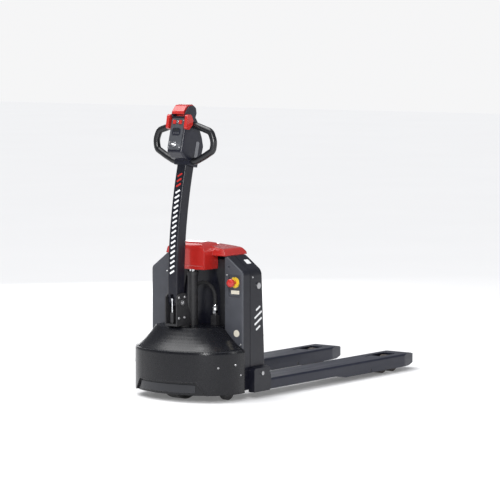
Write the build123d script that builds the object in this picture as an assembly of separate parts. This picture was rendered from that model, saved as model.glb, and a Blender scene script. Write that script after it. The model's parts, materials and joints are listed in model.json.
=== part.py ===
from build123d import *
import math
import os

# Walk-behind electric pallet truck, millimetres, +Z up.
# Every length along X below is measured from the fork heels (the flat face that the load
# touches): +X runs to the fork tips, -X to the operator, +Y is the operator's left.
# save() moves each sub-part so that the origin is under the middle of the whole truck.

# --- driving dimensions -------------------------------------------------------------------
FORK_LENGTH = 1150
FORK_WIDTH = 150
FORK_SPREAD = 560            # over the outer edges of both forks
FORK_TOP = 80                # top of the lowered forks
FORK_PLATE = 5
FORK_SIDE_BOTTOM = 34
FORK_DEEP_BOTTOM = 22
HEAD_LENGTH = 390            # heel to the nose of the drive cover
LIFT = 115

COLUMN_DEPTH = 105           # lifting battery column, heel face to front face
COLUMN_HALF = 248
COLUMN_BOTTOM = 58
COLUMN_TOP = 610
SHOULDER_Y = 165             # where the slanted top corners start
SHOULDER_Z = 545             # where they end on the side faces
COLUMN_LEAN = 18             # how far the rear face leans forward at the shoulder
COLUMN_WALL = 5

FRAME_FRONT = 152            # chassis side boxes reach this far forward of the heels
FRAME_REAR = 108
FRAME_INNER = 150            # half the recess between the side boxes
FRAME_WALL = 5
PANEL_THICK = 8

COVER_HALF = 262
COVER_BOTTOM = 32
COVER_RIM = 207
COVER_DECK = 310
COVER_CORNER = 188
COVER_NOSE_RADIUS = 420
COVER_INSET = 118            # how far the deck edge sits inside the rim at the sides
COVER_WALL = 4
COVER_REAR = 162
TOE_INSET = 14               # how far the toe recess sits inside the rim outline

STEER_X = -265               # upright axis of the drive unit
WHEEL_R = 105
WHEEL_WIDTH = 70
PLATE_Z = 222                # underside of the chassis cross plate
PLATE_THICK = 8
NECK_R = 36                  # neck of the turntable

CYLINDER_X = -187
CYLINDER_R = 22
ROD_R = 14
BRIDGE_Z = 556               # underside of the lift bridge with the forks lowered

HOSE_R = 8
HOSE_ROUTE = [(-150, -93, 362), (-150, -93, 405), (-150, -92, 446), (-150, -72, 478), (-150, -38, 492),
              (-150, -4, 486), (-150, 22, 462), (-150, 30, 428), (-150, 30, 395), (-150, 30, 362)]

PIVOT_X = -300               # tiller hinge
PIVOT_Z = 415
ARM_Y = 50
ARM_X = 57
ARM_STRAIGHT_TOP = 480
ARM_BEND_R = 2050
ARM_BEND = 14.5              # degrees that the tiller leans back at its top
SPRING_X = PIVOT_X - 26
SPRING_TOP = PIVOT_Z + 18
LOOP_R = 14.5
LOOP_X = -238                # upright plane of both grip loops
LOOP_BENDS = [50, 60, 24, 60, 30, 60]

CRANK_X = -20                # cross shaft of the lifting linkage
CRANK_Z = 70
CRANK_ARM = 110
CRANK_FINGER = 20
CRANK_ANGLE = math.degrees(math.asin(LIFT / 2 / CRANK_ARM))
CRANK_Y = 222                # plane of the two crank arms
FORK_Y = (FORK_SPREAD - FORK_WIDTH) / 2

LEVER_X = 755
LEVER_Z = 32
LEVER_LENGTH = 200
LEVER_HORN = 34
ROLLER_R = 37
ROLLER_WIDTH = 66
ROLLER_PITCH = 84            # between the two rollers of one bogie
LEVER_REST = math.degrees(math.asin((ROLLER_R - LEVER_Z) / LEVER_LENGTH))
BOGIE_X = LEVER_X + LEVER_LENGTH * math.cos(math.radians(LEVER_REST))

CASTOR_X = -215
CASTOR_Y = 188
CASTOR_R = 37.5
CASTOR_WIDTH = 30
CASTOR_TRAIL = 22

GAP = 0.6                    # clearance between pieces of different bodies that run together
MID_X = (FORK_LENGTH - HEAD_LENGTH) / 2


# --- helpers ------------------------------------------------------------------------------
def box(x0, x1, y0, y1, z0, z1):
    """A block between two opposite corners."""
    return Pos((x0 + x1) / 2, (y0 + y1) / 2, (z0 + z1) / 2) * Box(x1 - x0, y1 - y0, z1 - z0)


def outline(points, plane):
    """A closed face from (a, b) or (a, b, corner radius) points on a plane."""
    corners = [(p[0], p[1]) for p in points]
    radii = [p[2] if len(p) > 2 else 0 for p in points]
    return make_face(plane * FilletPolyline(*corners, radius=radii, close=True))


def prism_x(points, x0, x1):
    """A (y, z) outline pushed along X."""
    return extrude(outline(points, Plane.YZ.offset(x0)), x1 - x0, dir=(1, 0, 0))


def prism_y(points, y0, y1):
    """An (x, z) outline pushed along Y."""
    return extrude(outline(points, Plane.XZ.offset(-y0)), y1 - y0, dir=(0, 1, 0))


def prism_z(points, z0, z1):
    """An (x, y) outline pushed along Z."""
    return extrude(outline(points, Plane.XY.offset(z0)), z1 - z0, dir=(0, 0, 1))


def bar_x(y, z, x0, x1, r):
    return Pos((x0 + x1) / 2, y, z) * Rot(0, 90, 0) * Cylinder(r, x1 - x0)


def bar_y(x, z, y0, y1, r):
    return Pos(x, (y0 + y1) / 2, z) * Rot(90, 0, 0) * Cylinder(r, y1 - y0)


def bar_z(x, y, z0, z1, r):
    return Pos(x, y, (z0 + z1) / 2) * Cylinder(r, z1 - z0)


def ring_y(x, z, y0, y1, outer, inner):
    return bar_y(x, z, y0, y1, outer) - bar_y(x, z, y0 - 1, y1 + 1, inner)


def ring_z(x, y, z0, z1, outer, inner):
    return bar_z(x, y, z0, z1, outer) - bar_z(x, y, z0 - 1, z1 + 1, inner)


def mirrored(shape):
    return mirror(shape, Plane.XZ)


def both(shape):
    """A shape on the right side and its twin on the left, as one node of two solids."""
    return Compound(children=[*shape.solids(), *mirrored(shape).solids()])


def save(name, shape):
    os.makedirs("parts", exist_ok=True)
    export_step(Pos(-MID_X, 0, 0) * shape, f"parts/{name}.step")


# --- forks and their running gear ---------------------------------------------------------
def fork_side_profile():
    """Side flange: shallow at the heel, deep around the rollers, rising to the tip."""
    return [(0, FORK_SIDE_BOTTOM), (480, FORK_SIDE_BOTTOM), (560, FORK_DEEP_BOTTOM),
            (1075, FORK_DEEP_BOTTOM), (FORK_LENGTH, 38, 8), (FORK_LENGTH, 66, 10),
            (1090, FORK_TOP, 70), (0, FORK_TOP)]


def fork(y):
    """Pressed channel with bent long edges, a round tip and an opening over the rollers."""
    half = FORK_WIDTH / 2
    body = prism_y(fork_side_profile(), y - half, y + half)
    plan = [(0, y - half), (1030, y - half, 80), (FORK_LENGTH, y - half + 22, 50),
            (FORK_LENGTH, y + half - 22, 50), (1030, y + half, 80), (0, y + half)]
    body &= prism_z(plan, 0, 200)
    section = [(y - half, 0), (y + half, 0), (y + half, FORK_TOP, 9), (y - half, FORK_TOP, 9)]
    body &= prism_x(section, -1, FORK_LENGTH + 1)
    inner = half - FORK_PLATE
    hollow = [(FORK_PLATE + 1, 0), (1042, 0), (1042, FORK_TOP - FORK_PLATE),
              (FORK_PLATE + 1, FORK_TOP - FORK_PLATE)]
    body -= prism_y(hollow, y - inner, y + inner)
    opening = [(902, y - 34, 12), (1018, y - 34, 12), (1018, y + 34, 12), (902, y + 34, 12)]
    body -= prism_z(opening, 60, FORK_TOP + 1)
    dent = [(838, y - 16, 4), (903, y - 34), (903, y + 34), (838, y + 16, 4)]
    body -= prism_z(dent, FORK_TOP - 1.6, FORK_TOP + 1)
    for side in (-1, 1):
        edge = y + side * half
        body -= bar_y(LEVER_X, LEVER_Z, edge - 8, edge + 8, 8 + GAP)
    crank_window = box(-1, FORK_PLATE + 2, y - 50, y + 50, 0, FORK_TOP - FORK_PLATE)
    return body - crank_window


def entry_roller(y):
    """Small roller under the tip that helps the fork into a closed pallet."""
    return ring_y(1092, 38, y - 18, y + 18, 15, 5) + bar_y(1092, 38, y - 22, y + 22, 5)


def tip_roller_slot(y):
    """Space in the solid tip for the entry roller and its pin ends."""
    slot = box(1074, 1110, y - 20, y + 20, 0, 55)
    return slot + bar_y(1092, 38, y - 22, y + 22, 5.05)


def heel_bracket():
    """Right-hand gusset that ties the fork to the column foot."""
    y_out = -FORK_SPREAD / 2
    y_in = -COLUMN_HALF - 0.5
    side = [(-118, 30), (-8, 30), (-8, 138), (-104, 138, 14), (-118, 124, 10)]
    gusset = prism_y(side, y_out, y_in)
    slope = [(y_out - 1, 131), (y_out - 1, 170), (y_in + 1, 170), (y_in + 1, 139)]
    gusset -= prism_x(slope, -130, 5)
    shoe = prism_y([(-8, FORK_SIDE_BOTTOM), (-0.2, FORK_SIDE_BOTTOM), (-0.2, 96, 0), (-8, 112)],
                   y_out, y_in)
    gusset += shoe
    return gusset - bar_y(-62, 108, y_out - 1, y_in + 1, 9)


def roller_lever(y):
    """Fork-end lever: two cheeks, a pivot bar, a horn for the push rod and the bogie pin."""
    end_x, end_z = BOGIE_X, ROLLER_R
    horn_a = math.radians(108)
    horn = (LEVER_X + LEVER_HORN * math.cos(horn_a), LEVER_Z + LEVER_HORN * math.sin(horn_a))
    lever = bar_y(LEVER_X, LEVER_Z, y - FORK_WIDTH / 2 + 1, y + FORK_WIDTH / 2 - 1, 8)
    cheek = [(LEVER_X - 14, LEVER_Z - 9, 8), (end_x + 11, end_z - 11, 8),
             (end_x + 11, end_z + 11, 8), (end_x - 40, end_z + 12, 20), (horn[0] + 9, horn[1] + 6, 5),
             (horn[0] - 7, horn[1] + 6, 5)]
    for side in (-1, 1):
        y0 = y + side * 61 - 3
        lever += prism_y(cheek, y0, y0 + 6)
        stub = sorted((y + side * 37, y + side * 63))
        lever += bar_y(end_x, end_z, stub[0], stub[1], 7)
    lever += bar_y(horn[0], horn[1], y - 64, y + 64, 5)
    return lever


def bogie(y):
    """Rocking pair of cheeks that carries two load rollers."""
    half = ROLLER_PITCH / 2
    cheek = [(BOGIE_X - half - 11, ROLLER_R - 11, 10), (BOGIE_X + half + 11, ROLLER_R - 11, 10),
             (BOGIE_X + half + 11, ROLLER_R + 11, 10), (BOGIE_X - half - 11, ROLLER_R + 11, 10)]
    frame = bar_y(BOGIE_X - half, ROLLER_R, y - 42, y + 42, 8)
    frame += bar_y(BOGIE_X + half, ROLLER_R, y - 42, y + 42, 8)
    for side in (-1, 1):
        y0 = y + side * 41 - 3
        plate = prism_y(cheek, y0, y0 + 6)
        frame += plate - bar_y(BOGIE_X, ROLLER_R, y0 - 1, y0 + 7, 7.06)
    return frame


def load_roller(x, y):
    """Polyurethane roller on its axle."""
    half = ROLLER_WIDTH / 2
    roller = ring_y(x, ROLLER_R, y - half, y + half, ROLLER_R, 8.05)
    return chamfer(roller.edges().filter_by(GeomType.CIRCLE).sort_by(Edge.length)[-2:], 3)


def push_rod(y):
    """Bar inside the fork from the crank finger to the lever horn, with slotted ends."""
    x0, z0 = finger_pin()
    horn_a = math.radians(108)
    x1 = LEVER_X + LEVER_HORN * math.cos(horn_a)
    z1 = LEVER_Z + LEVER_HORN * math.sin(horn_a)
    shape = [(x0 - 9, z0 - 12, 5), (x0 + 60, z0 - 8), (x1 - 60, z1 - 8), (x1 + 10, z1 - 8.5, 4),
             (x1 + 10, z1 + 9.5, 4), (x1 - 60, z1 + 6), (x0 + 60, z0 + 6), (x0 - 9, z0 + 7, 5)]
    rod = prism_y(shape, y - 5, y + 5)
    heel_slot = [(x0 - 4.8, z0 - 8, 4.5), (x0 + 4.8, z0 - 8, 4.5), (x0 + 4.8, z0 + 4.8, 4.5),
                 (x0 - 4.8, z0 + 4.8, 4.5)]
    rod -= prism_y(heel_slot, y - 6, y + 6)
    tip_slot = [(x1 - 6.2, z1 - 5.6, 5.5), (x1 + 6.2, z1 - 5.6, 5.5), (x1 + 6.2, z1 + 7.4, 5.5),
                (x1 - 6.2, z1 + 7.4, 5.5)]
    return rod - prism_y(tip_slot, y - 6, y + 6)


def finger_pin():
    """Pin of the crank finger with the forks lowered."""
    angle = math.radians(270 - CRANK_ANGLE)
    return CRANK_X + CRANK_FINGER * math.cos(angle), CRANK_Z + CRANK_FINGER * math.sin(angle)


def link_point():
    """Pin of the crank arms in the chassis lugs, with the forks lowered."""
    angle = math.radians(180 - CRANK_ANGLE)
    return CRANK_X + CRANK_ARM * math.cos(angle), CRANK_Z + CRANK_ARM * math.sin(angle)


def bell_crank():
    """Cross shaft with an arm to the chassis and a finger for the push rod on each side."""
    crank = bar_y(CRANK_X, CRANK_Z, -CRANK_Y - 8, CRANK_Y + 8, 9)
    pin_x, pin_z = link_point()
    tip_x, tip_z = finger_pin()
    arm = Pos((CRANK_X + pin_x) / 2, 0, (CRANK_Z + pin_z) / 2) * Rot(0, CRANK_ANGLE, 0) \
        * Box(CRANK_ARM, 12, 18)
    arm += bar_y(CRANK_X, CRANK_Z, -6, 6, 15) + bar_y(pin_x, pin_z, -6, 6, 11)
    arm += bar_y(pin_x, pin_z, -13.5, 13.5, 6.5)
    finger = bar_y(tip_x, tip_z, -14, 14, 4)
    for side in (-1, 1):
        plate = prism_y([(CRANK_X - 13, CRANK_Z), (tip_x - 8, tip_z - 6, 4), (tip_x + 8, tip_z - 8, 4),
                         (CRANK_X + 13, CRANK_Z)], side * 11 - 3, side * 11 + 3)
        finger += plate
    for side in (-1, 1):
        crank += Pos(0, side * CRANK_Y, 0) * arm
        crank += Pos(0, side * FORK_Y, 0) * finger
    return crank


# --- lifting column -----------------------------------------------------------------------
def column_outline(shrink=0.0, bottom=COLUMN_BOTTOM, corner=0):
    """Front view of the column: upright sides and slanted top corners."""
    half = COLUMN_HALF - shrink
    top = COLUMN_TOP - shrink
    return [(-half, bottom), (half, bottom), (half, SHOULDER_Z - shrink / 2, corner),
            (SHOULDER_Y - shrink / 2, top, corner / 2), (-SHOULDER_Y + shrink / 2, top, corner / 2),
            (-half, SHOULDER_Z - shrink / 2, corner)]


def column_side(shrink=0.0):
    """Side view: the rear face is upright at the foot and leans forward above it."""
    return [(-COLUMN_DEPTH + shrink, 0), (-shrink, 0), (-shrink, 200),
            (-COLUMN_LEAN - shrink, SHOULDER_Z, 40), (-COLUMN_LEAN - 14 - shrink, 700),
            (-COLUMN_DEPTH + shrink, 700)]


def column_solid(shrink=0.0, bottom=COLUMN_BOTTOM, corner=40):
    body = prism_x(column_outline(shrink, bottom, corner), -COLUMN_DEPTH - 5, 5)
    return body & prism_y(column_side(shrink), -300, 300)


def battery_column():
    """Steel shell of the column, open below, with slots for the crank arms."""
    outer = column_solid()
    rear = outer.edges().filter_by(lambda e: e.center().X > -45 and e.center().Z > 70)
    rear = rear.filter_by(lambda e: abs(e.center().Y) > 150)
    shell = fillet(rear, 12) - column_solid(COLUMN_WALL, COLUMN_BOTTOM - 10, 36)
    floor = box(-COLUMN_DEPTH + 4, -4, -COLUMN_HALF + 4, COLUMN_HALF - 4, 262, 266)
    shell += floor
    for side in (-1, 1):
        y = side * CRANK_Y
        shell -= box(-COLUMN_DEPTH - 1, -COLUMN_DEPTH + 6, y - 9, y + 9, 0, 160)
        shell -= box(-9, 1, side * FORK_Y - 17, side * FORK_Y + 17, 0, 74)
    return shell


def battery_pack():
    """Lithium battery block standing on the column floor."""
    return box(-92, -34, -185, 185, 267, 520)


def battery_lock():
    """Round lock of the battery hatch on the right side of the column."""
    return bar_y(-50, 481, -COLUMN_HALF - 5, -COLUMN_HALF - 0.2, 13)


def lift_bridge():
    """Arm from the column to the piston rod, under the hood."""
    z0, z1 = BRIDGE_Z, BRIDGE_Z + 18
    bridge = box(-214, -COLUMN_DEPTH - 0.2, -38, 38, z0, z1)
    for side in (-1, 1):
        rib = [(-200, z0 + 1), (-COLUMN_DEPTH - 0.2, z0 + 1), (-COLUMN_DEPTH - 0.2, 604), (-190, 586)]
        y0 = side * 35 - 3
        bridge += prism_y(rib, y0, y0 + 6)
    return bridge


def hood_solid(shrink=0.0):
    """Red top cover: wide over the column, with a narrower rounded lobe over the cylinder."""
    wide = [(-SHOULDER_Y + 3 + shrink, COLUMN_TOP + 0.5), (SHOULDER_Y - 3 - shrink, COLUMN_TOP + 0.5),
            (SHOULDER_Y - 12 - shrink, 640 - shrink, 14), (60, 655 - shrink, 120),
            (-60, 655 - shrink, 120), (-SHOULDER_Y + 12 + shrink, 640 - shrink, 14)]
    back = prism_x(wide, -168 + shrink, -16 - shrink)
    back_cut = [(-16 - shrink, COLUMN_TOP - 5), (-16 - shrink, 622), (-44 - shrink, 646 - shrink, 12),
                (-120, 670), (-200, 670), (-200, COLUMN_TOP - 5)]
    back &= prism_y(back_cut, -300, 300)
    lobe = [(-92 + shrink, 552), (92 - shrink, 552), (92 - shrink, 668 - shrink, 46),
            (-92 + shrink, 668 - shrink, 46)]
    front = prism_x(lobe, -226 + shrink, -112)
    lobe_side = [(-300, 500), (-300, 578), (-224 + shrink, 566), (-224 + shrink, 668 - shrink, 30),
                 (-150, 668 - shrink, 60), (-60, 652 - shrink), (-60, 500)]
    front &= prism_y(lobe_side, -200, 200)
    return back + front


def hood():
    """Moulded shell of the hood, open below."""
    shell = hood_solid() - hood_solid(4)
    return shell - box(-128, 10, -200, 200, 500, COLUMN_TOP + 0.5)


# --- chassis ------------------------------------------------------------------------------
def cover_outline(inset, z):
    """Plan of the drive cover: flat back, straight sides, round corners and a wide nose arc.

    The three arcs touch smoothly, and the nose moves in less than the sides do.
    """
    half = COVER_HALF - inset
    corner = COVER_CORNER - inset * 0.9
    nose = -HEAD_LENGTH + inset * 0.6
    nose_radius = COVER_NOSE_RADIUS - inset * 0.2
    nose_centre = nose + nose_radius
    reach = nose_radius - corner
    corner_y = half - corner
    corner_x = nose_centre - math.sqrt(reach ** 2 - corner_y ** 2)
    tilt = math.atan2(corner_y, nose_centre - corner_x)
    touch = (nose_centre - nose_radius * math.cos(tilt), nose_radius * math.sin(tilt))
    mid_turn = (math.pi / 2 + tilt) / 2
    mid = (corner_x - corner * math.cos(mid_turn), corner_y + corner * math.sin(mid_turn))
    back_x = -COVER_REAR + inset * 0.3
    edges = [Line((back_x, half), (corner_x, half)),
             ThreePointArc((corner_x, half), mid, touch),
             ThreePointArc(touch, (nose, 0), (touch[0], -touch[1])),
             ThreePointArc((touch[0], -touch[1]), (mid[0], -mid[1]), (corner_x, -half)),
             Line((corner_x, -half), (back_x, -half)),
             Line((back_x, -half), (back_x, half))]
    return Pos(0, 0, z) * make_face(edges)


def cover_solid(shrink=0.0):
    """Upright skirt, rolled rim and a hollow-curved shoulder that rises to the deck."""
    steps = 7
    rings = [cover_outline(shrink, COVER_BOTTOM - shrink * 3), cover_outline(shrink, COVER_RIM - 1)]
    rings.append(cover_outline(shrink + 3, COVER_RIM + 9))
    for i in range(1, steps + 1):
        t = i / steps
        height = COVER_RIM + 13 + (COVER_DECK - COVER_RIM - 13) * t ** 1.4
        rings.append(cover_outline(shrink + 8 + (COVER_INSET - 8) * t, height - shrink))
    return loft(rings, ruled=True)


def drive_cover():
    """Plastic shell over the drive unit, with a toe recess and openings in its deck."""
    toe = [(-190, 0), (190, 0), (190, COVER_BOTTOM + 2), (150, 84), (-150, 84), (-190, COVER_BOTTOM + 2)]
    outer = cover_solid() - (prism_x(toe, -500, -250) - extrude(cover_outline(TOE_INSET, 0), 120))
    lining = [(y * 1.03, z + COVER_WALL * (z > 60)) for y, z in toe]
    lining_face = extrude(cover_outline(TOE_INSET + 7, 0), 120)
    inner = cover_solid(COVER_WALL) - (prism_x(lining, -500, -250) - lining_face)
    shell = outer - inner
    shell -= box(-COVER_REAR - 0.2, 0, -400, 400, 0, 400)
    shell += deck_tongue()
    shell -= bar_z(STEER_X, 0, 250, 400, NECK_R + 6)
    shell -= bar_z(CYLINDER_X, 0, 250, 400, CYLINDER_R + 1)
    return shell


def deck_tongue():
    """Flat strip of the deck that runs back between the side boxes."""
    return box(-COVER_REAR - 1, -132, -FRAME_INNER + 1, FRAME_INNER - 1, COVER_DECK - 4, COVER_DECK)


def side_box(side):
    """Folded sheet duct behind one side panel, with the same top corner as the column."""
    def profile(shrink):
        return [(side * (FRAME_INNER + shrink), COVER_BOTTOM + 8),
                (side * (COLUMN_HALF - shrink), COVER_BOTTOM + 8),
                (side * (COLUMN_HALF - shrink), SHOULDER_Z - shrink / 2, 30),
                (side * (SHOULDER_Y - shrink / 2), COLUMN_TOP - shrink, 15),
                (side * (FRAME_INNER + shrink), COLUMN_TOP - shrink)]
    outer = prism_x(profile(0), -FRAME_FRONT, -FRAME_REAR)
    return outer - prism_x(profile(FRAME_WALL), -FRAME_FRONT - 1, -FRAME_REAR - FRAME_WALL)


def chassis_frame():
    """Welded frame: side boxes, rear plate, cross plate, castor posts and slotted link lugs."""
    frame = box(-FRAME_REAR - FRAME_WALL, -FRAME_REAR, -FRAME_INNER, FRAME_INNER, 60, BRIDGE_Z - 6)
    for side in (-1, 1):
        frame += side_box(side)
    plate = extrude(cover_outline(48, PLATE_Z), PLATE_THICK)
    plate -= box(-COVER_REAR, 0, -400, 400, 0, 400)
    frame += plate
    plate_top = PLATE_Z + PLATE_THICK
    frame += box(-FRAME_FRONT - 12, -FRAME_REAR - 1, -FRAME_INNER, FRAME_INNER, PLATE_Z, plate_top)
    frame -= bar_z(STEER_X, 0, 200, 240, NECK_R + 3)
    pin_x, pin_z = link_point()
    for side in (-1, 1):
        y = side * CRANK_Y
        frame -= box(-FRAME_REAR - 10, -FRAME_REAR + 1, y - 10, y + 10, 40, 172)
        for edge in (-1, 1):
            y0 = y + edge * 11.5 - 2.5
            frame += box(pin_x - 30, -FRAME_REAR - 2, y0, y0 + 5, pin_z - 16, pin_z + 16)
        frame -= box(pin_x - 24, -FRAME_REAR + 1, y - 14.2, y + 14.2, pin_z - 8.4, pin_z + 8.4)
        frame += castor_post(side)
    return frame


def castor_post(side):
    """Square post from the cross plate down to the castor bearing."""
    y = side * CASTOR_Y
    post = box(CASTOR_X - 28, CASTOR_X + 28, y - 28, y + 28, 112, PLATE_Z)
    post -= box(CASTOR_X - 24, CASTOR_X + 24, y - 24, y + 24, 118, PLATE_Z)
    return post - bar_z(CASTOR_X, y, 110, 120, 8.05)


def side_panel(side):
    """Grey moulding on the front of one side box, with a rounded outer edge."""
    profile = [(side * (FRAME_INNER + 4), 216), (side * COLUMN_HALF, 216),
               (side * COLUMN_HALF, SHOULDER_Z, 20), (side * SHOULDER_Y, COLUMN_TOP - 2, 10),
               (side * (FRAME_INNER + 4), COLUMN_TOP - 2)]
    x0 = -FRAME_FRONT - PANEL_THICK
    panel = prism_x(profile, x0, -FRAME_FRONT - 0.1)
    front = panel.faces().sort_by(Axis.X)[0].edges().filter_by(lambda e: abs(e.center().Y) > 215)
    panel = fillet(front, 5)
    return panel


def right_side_panel():
    """The right panel holds the emergency stop in a sunken tray."""
    x0 = -FRAME_FRONT - PANEL_THICK
    tray = [(-237, 438, 6), (-173, 438, 6), (-173, 532, 6), (-237, 532, 6)]
    panel = side_panel(-1) - prism_x(tray, x0 - 1, x0 + 5)
    panel -= bar_x(-205, 500, -FRAME_FRONT - 9, -FRAME_FRONT, 11.05)
    return panel - bar_x(-177, 566, x0 - 1, x0 + 4, 6)


def recess_liner():
    """Grey wall at the back of the recess, with an arched opening."""
    x0 = -FRAME_REAR - FRAME_WALL - 10
    wall = box(x0, x0 + 4, -FRAME_INNER + 0.5, FRAME_INNER - 0.5, COVER_DECK + 0.5, COLUMN_TOP - 18)
    crown = COLUMN_TOP
    arch = [Line((-100, 200), (-100, 430)), ThreePointArc((-100, 430), (-88, 505), (-44, crown)),
            Line((-44, crown), (44, crown)), ThreePointArc((44, crown), (88, 505), (100, 430)),
            Line((100, 430), (100, 200)), Line((100, 200), (-100, 200))]
    face = make_face(Plane.YZ.offset(x0 - 1) * Wire(arch))
    return wall - extrude(face, 6, dir=(1, 0, 0))


def lift_cylinder():
    """Hydraulic cylinder tube with its foot and gland."""
    z0 = PLATE_Z + PLATE_THICK
    tube = bar_z(CYLINDER_X, 0, z0, 540, CYLINDER_R) + bar_z(CYLINDER_X, 0, z0, z0 + 14, 27)
    tube += bar_z(CYLINDER_X, 0, 522, 540, CYLINDER_R + 3)
    tube -= bar_z(CYLINDER_X, 0, z0 + 20, 523, ROD_R + 3)
    return tube - bar_z(CYLINDER_X, 0, 520, 541, ROD_R + 0.08)


def piston_rod():
    """Chromed rod that pushes the lift bridge."""
    return bar_z(CYLINDER_X, 0, 380, 555.9, ROD_R) + bar_z(CYLINDER_X, 0, 380, 392, ROD_R + 2.5)


def hydraulic_pump():
    """Lift motor with its pump and valve block."""
    z0 = PLATE_Z + PLATE_THICK
    motor = bar_y(-196, z0 + 30, 62, 148, 29) + bar_y(-196, z0 + 30, 147, 154, 18)
    return motor + box(-221, -172, 38, 62.8, z0 + 0.2, z0 + 60)


def hose_port():
    """Elbow blocks on the deck where the two ends of the lift hose stand."""
    ports = []
    for route_end, side in ((HOSE_ROUTE[0], -1), (HOSE_ROUTE[-1], 1)):
        x, y, z = route_end
        block = box(x - 13, x + 13, y - 14, y + 14, COVER_DECK + 0.2, z - 10)
        ports.append(block + bar_z(x, y, z - 11, z, 11))
    return Compound(children=ports)


def oil_tank():
    """Moulded oil tank between the cross plate and the deck."""
    z0 = PLATE_Z + PLATE_THICK + 0.2
    tank = fillet(box(-272, -172, -138, -52, z0, z0 + 54).edges().filter_by(Axis.Z), 12)
    return tank - box(-266, -178, -132, -58, z0 + 5, z0 + 49)


def motor_controller():
    """Finned aluminium controller."""
    z0 = PLATE_Z + PLATE_THICK + 0.2
    body = box(-306, -234, 64, 126, z0, z0 + 20)
    for i in range(6):
        y = 66 + i * 11
        body += box(-304, -236, y, y + 4, z0 + 19, z0 + 32)
    return body


def hose_radii():
    """Each bend is as large as its two runs allow."""
    points = [Vector(*p) for p in HOSE_ROUTE]
    radii = []
    for a, b, c in zip(points, points[1:], points[2:]):
        turn = math.radians((b - a).get_angle(c - b))
        run = min((b - a).length, (c - b).length)
        radii.append(0.45 * run / math.tan(turn / 2) if turn > 0.002 else 0)
    return radii


def lift_hose():
    """High-pressure hose that arches between the two deck ports."""
    path = FilletPolyline(*HOSE_ROUTE, radius=hose_radii())
    start = Plane(origin=HOSE_ROUTE[0], z_dir=(0, 0, 1))
    return sweep(start * Circle(HOSE_R), path)


# --- emergency stop -----------------------------------------------------------------------
def estop_ring():
    """Yellow collar round the emergency stop, with the switch barrel behind it."""
    x0 = -FRAME_FRONT - PANEL_THICK + 5
    ring = bar_x(-205, 500, x0 - 3.2, x0 - 0.2, 23) + bar_x(-205, 500, x0 - 1, x0 + 28, 11)
    return ring - bar_x(-205, 500, x0 - 4, x0 + 20, 8.06)


def estop_button():
    """Red mushroom head on its stem."""
    x0 = -FRAME_FRONT - PANEL_THICK + 5
    head = Pos(x0 - 26, -205, 500) * Rot(0, -90, 0) * Cone(18, 14, 16)
    stem = bar_x(-205, 500, x0 - 20, x0 + 10, 8)
    return head + stem


# --- drive unit ---------------------------------------------------------------------------
def steering_bearing():
    """Slewing ring on the cross plate."""
    z0 = PLATE_Z + PLATE_THICK
    return ring_z(STEER_X, 0, z0 + 0.1, z0 + 12, NECK_R + 9, NECK_R + 0.06)


def steering_head():
    """Turntable: neck through the slewing ring, top plate over the wheel and one side leg."""
    z0 = PLATE_Z + PLATE_THICK
    head = bar_z(STEER_X, 0, z0 - 16, COVER_DECK + 6, NECK_R)
    head += bar_z(STEER_X, 0, z0 - 16, z0 - 9, 80) + bar_z(STEER_X, 0, z0 + 12.6, z0 + 18, NECK_R + 7)
    return head - bar_z(STEER_X, 0, z0 + 24, COVER_DECK + 7, NECK_R - 8)


def gearbox():
    """Gear case beside the wheel, hung under the turntable, with the wheel shaft."""
    z_top = PLATE_Z + PLATE_THICK - 16.2
    case = prism_y([(STEER_X - 52, 58, 40), (STEER_X + 52, 58, 40), (STEER_X + 58, z_top),
                    (STEER_X - 58, z_top)], -74, -38)
    case += bar_y(STEER_X, WHEEL_R, -40, 30, 14)
    return case


def traction_motor():
    """Electric motor on the outside of the gear case."""
    motor = bar_y(STEER_X, 140, -107, -74.2, 46)
    for i in range(3):
        motor -= ring_y(STEER_X, 140, -101 + i * 9, -97 + i * 9, 50, 42)
    return motor


def drive_tyre():
    tyre = ring_y(STEER_X, WHEEL_R, -WHEEL_WIDTH / 2, WHEEL_WIDTH / 2, WHEEL_R, 78)
    return chamfer(tyre.edges().filter_by(GeomType.CIRCLE).sort_by(Edge.length)[-2:], 5)


def drive_hub():
    hub = ring_y(STEER_X, WHEEL_R, -WHEEL_WIDTH / 2 + 2, WHEEL_WIDTH / 2 - 2, 78, 14.05)
    for i in range(6):
        a = math.radians(60 * i)
        hub -= bar_y(STEER_X + 48 * math.cos(a), WHEEL_R + 48 * math.sin(a), -50, 50, 12)
    return hub


# --- castors ------------------------------------------------------------------------------
def castor_fork(side):
    """Swivel fork with its kingpin and axle."""
    y = side * CASTOR_Y
    wheel_x = CASTOR_X + CASTOR_TRAIL
    top = 111.4
    fork_plate = bar_z(CASTOR_X, y, top - 8, top, 26)
    fork_plate += box(CASTOR_X - 18, wheel_x + 16, y - 24, y + 24, 92, top - 7)
    for edge in (-1, 1):
        y0 = y + edge * 21.5 - 2.5
        leg = [(CASTOR_X - 18, 95), (wheel_x - 14, 28, 8), (wheel_x + 14, 28, 8), (wheel_x + 16, 95)]
        fork_plate += prism_y(leg, y0, y0 + 5)
    fork_plate += bar_z(CASTOR_X, y, top - 2, 128, 8)
    return fork_plate + bar_y(wheel_x, CASTOR_R, y - 24, y + 24, 6)


def castor_wheel(side):
    y = side * CASTOR_Y
    half = CASTOR_WIDTH / 2
    wheel = ring_y(CASTOR_X + CASTOR_TRAIL, CASTOR_R, y - half, y + half, CASTOR_R, 6.05)
    return fillet(wheel.edges().filter_by(GeomType.CIRCLE).sort_by(Edge.length)[-2:], 6)


# --- tiller -------------------------------------------------------------------------------
def arm_end():
    """Middle of the arm's upper end."""
    bend = math.radians(ARM_BEND)
    x = PIVOT_X + ARM_BEND_R * (1 - math.cos(bend))
    return x, ARM_STRAIGHT_TOP + ARM_BEND_R * math.sin(bend)


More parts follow.
